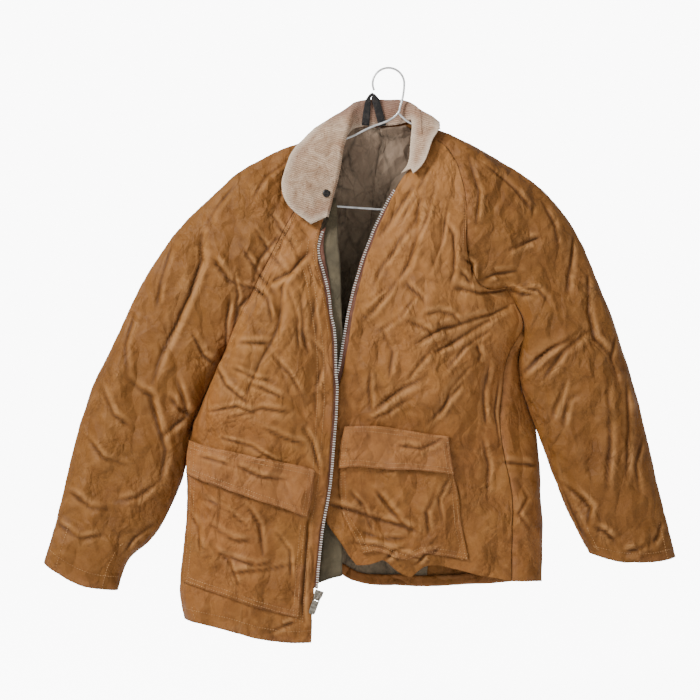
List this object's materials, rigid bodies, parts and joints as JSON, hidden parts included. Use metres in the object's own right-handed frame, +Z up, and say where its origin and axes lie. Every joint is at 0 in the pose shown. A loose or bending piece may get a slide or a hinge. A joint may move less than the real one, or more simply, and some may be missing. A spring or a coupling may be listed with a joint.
{
  "type": "field jacket",
  "caption": "Open zip-front field jacket with raglan sleeves, corduroy collar and flap pockets, hung on a wire hanger.",
  "frame": {"origin": "underside of the hanger's hook at the top of its arc, where it rests on a rail", "axes": "+X to the right of someone facing the front (the wearer's left), +Y away from them into the back, +Z up"},
  "size_m": [0.9598, 0.1224, 0.8716],
  "materials": {
    "waxed_cotton": "waxed, satin, worn pale at the folds",
    "lining": "plain weave, dull",
    "corduroy": "fine ribs, soft nap",
    "zip_tape": "woven tape, dull",
    "guard_cloth": "twill, dull",
    "black_tape": "woven tape, dull",
    "pewter": "worn dark plating",
    "black_metal": "satin black",
    "bright_wire": "galvanised, bright"
  },
  "bodies": {
    "jacket": {"front_right": "waxed_cotton", "front_left": "waxed_cotton", "back_right": "waxed_cotton", "back_left": "waxed_cotton", "sleeve_right_front": "waxed_cotton", "sleeve_right_back": "waxed_cotton", "sleeve_left_front": "waxed_cotton", "sleeve_left_back": "waxed_cotton", "back_lining_right": "lining", "back_lining_left": "lining", "back_hem_facing": "waxed_cotton", "collar": "corduroy", "under_collar": "waxed_cotton", "zip_tape_right": "zip_tape", "zip_tape_left": "zip_tape", "zip_guard": "guard_cloth", "pocket_right": "waxed_cotton", "pocket_left": "waxed_cotton", "flap_right": "waxed_cotton", "flap_left": "waxed_cotton", "hang_loop": "black_tape", "zip_slider": "pewter", "collar_snap": "black_metal", "hanger": "bright_wire"},
    "zip_pull": {"zip_pull_tab": "pewter"}
  },
  "joints": [
    {"name": "pull_tab_swing", "type": "hinge", "parent": "jacket", "child": "zip_pull", "pos_m": [-0.10605, -0.05055, -0.79464], "axis": [-0.9397, 0, 0.342], "range_deg": [0, 160]}
  ]
}
